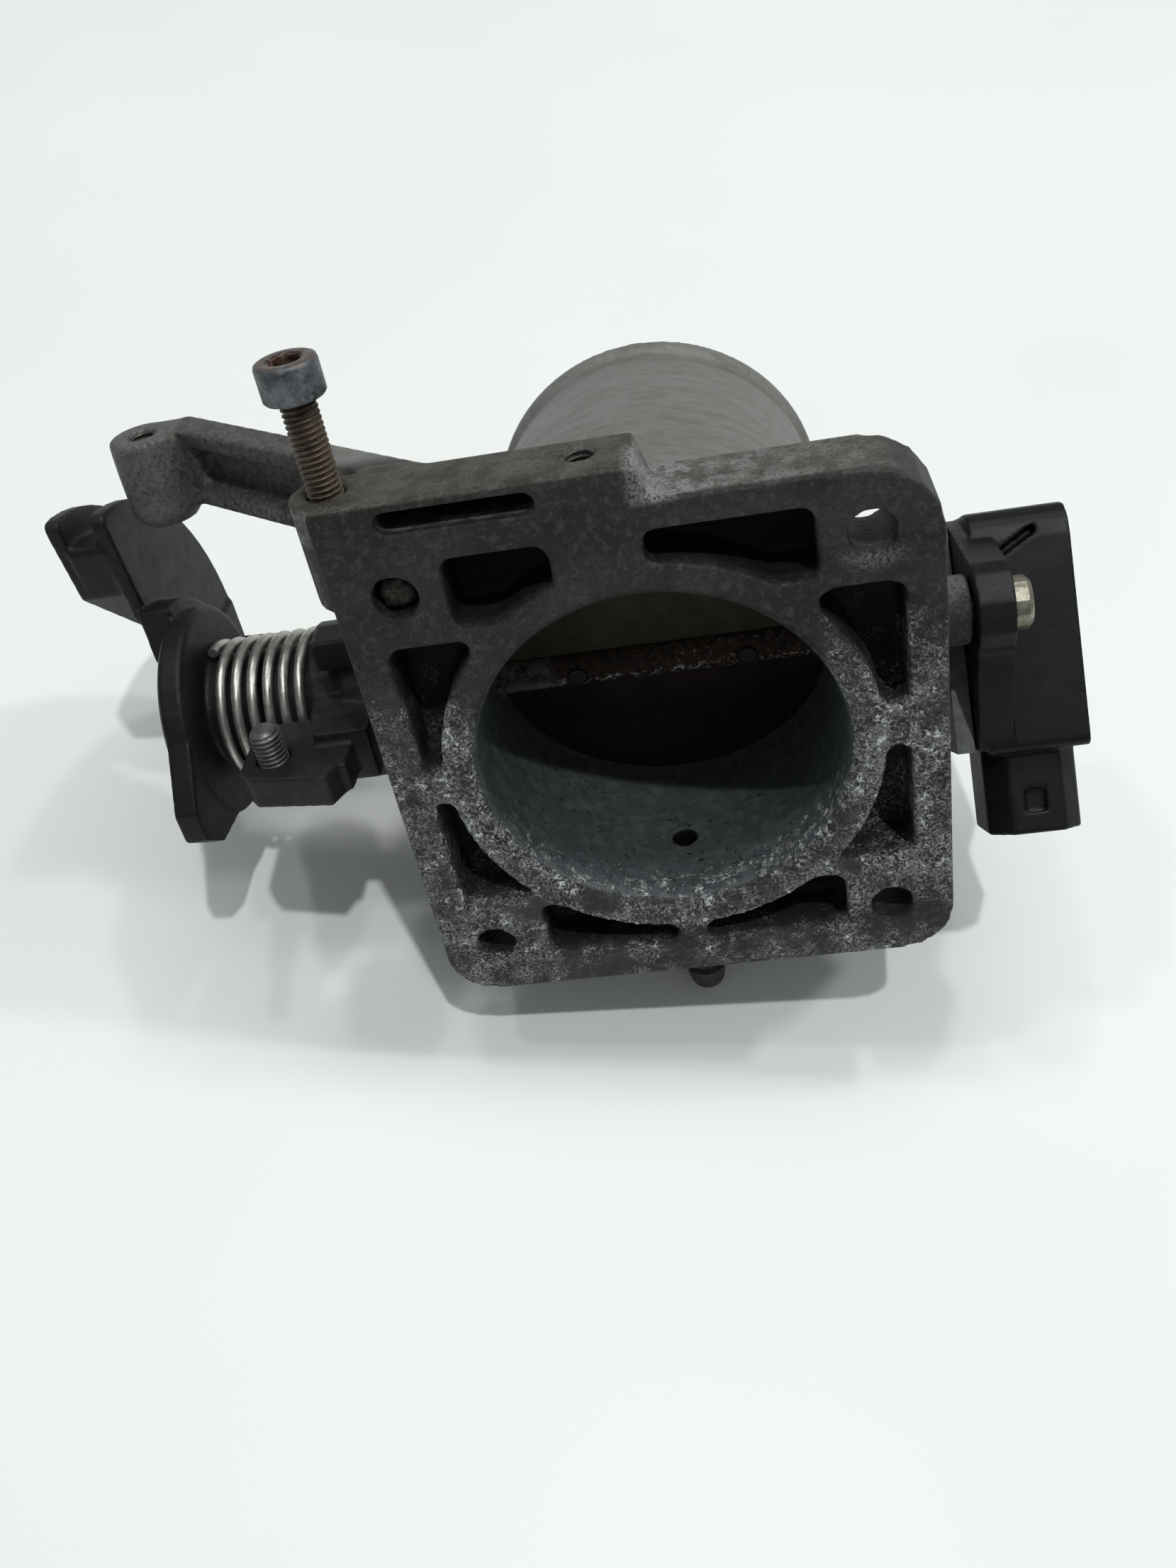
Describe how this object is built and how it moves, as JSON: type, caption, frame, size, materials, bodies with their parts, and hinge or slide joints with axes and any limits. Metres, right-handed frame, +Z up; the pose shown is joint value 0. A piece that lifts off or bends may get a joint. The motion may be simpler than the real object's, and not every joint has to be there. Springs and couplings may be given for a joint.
{
  "type": "throttle body",
  "caption": "Cable-operated engine throttle body in weathered cast aluminium, with a spring-returned cable quadrant and a black position sensor.",
  "frame": {"origin": "centre of the underside of the bounding box, on the surface the throttle body lies on", "axes": "+Z up from that surface, +X towards the position sensor (the throttle shaft leans 10 degrees down at the cable quadrant), +Y away from the inlet flange, which faces -Y and up by 22 degrees"},
  "size_m": [0.1664, 0.1134, 0.1139],
  "materials": {
    "cast_aluminium": "weathered as-cast",
    "black_plastic": "satin black",
    "sensor_plastic": "matte black",
    "spring_steel": "bright drawn wire",
    "screw_steel": "rusty",
    "bright_steel": "zinc plated",
    "brown_brass": "brown tarnish",
    "bronze": "sintered bronze",
    "rubber": "matte",
    "spacer_plastic": "grey-green",
    "board": "coated board"
  },
  "bodies": {
    "housing": {"throttle_housing": "cast_aluminium", "breather_nipple": "brown_brass", "purge_nipple": "brown_brass", "left_shaft_bearing": "bronze", "right_shaft_bearing": "bronze", "left_shaft_seal": "rubber", "right_shaft_seal": "rubber", "stop_block": "black_plastic", "return_spring": "spring_steel", "bracket_screw": "screw_steel", "tps_spacer_plate": "spacer_plastic", "tps_seal": "rubber", "tps_housing": "sensor_plastic", "tps_cover": "sensor_plastic", "tps_track_board": "board", "tps_pin_1": "bright_steel", "tps_pin_2": "bright_steel", "tps_pin_3": "bright_steel", "tps_screw_front": "bright_steel", "tps_screw_rear": "bright_steel"},
    "throttle": {"throttle_shaft": "screw_steel", "throttle_plate": "brown_brass", "plate_screw_1": "screw_steel", "plate_screw_2": "screw_steel", "quadrant": "black_plastic", "quadrant_washer": "bright_steel", "quadrant_nut": "bright_steel", "tps_rotor": "spacer_plastic"},
    "idle_screw": {"idle_stop_screw": "screw_steel"}
  },
  "joints": [
    {"name": "throttle_turn", "type": "hinge", "parent": "housing", "child": "throttle", "pos_m": [0.01611, -0.01001, 0.05114], "axis": [0.9823, 0.0702, 0.1737], "range_deg": [0, 76], "stiffness_Nm_per_rad": 0.15, "springref_deg": -114.59},
    {"name": "idle_screw_adjust", "type": "slide", "parent": "housing", "child": "idle_screw", "axis": [-0.1874, 0.368, 0.9108], "range_m": [0, 0.0016]}
  ]
}
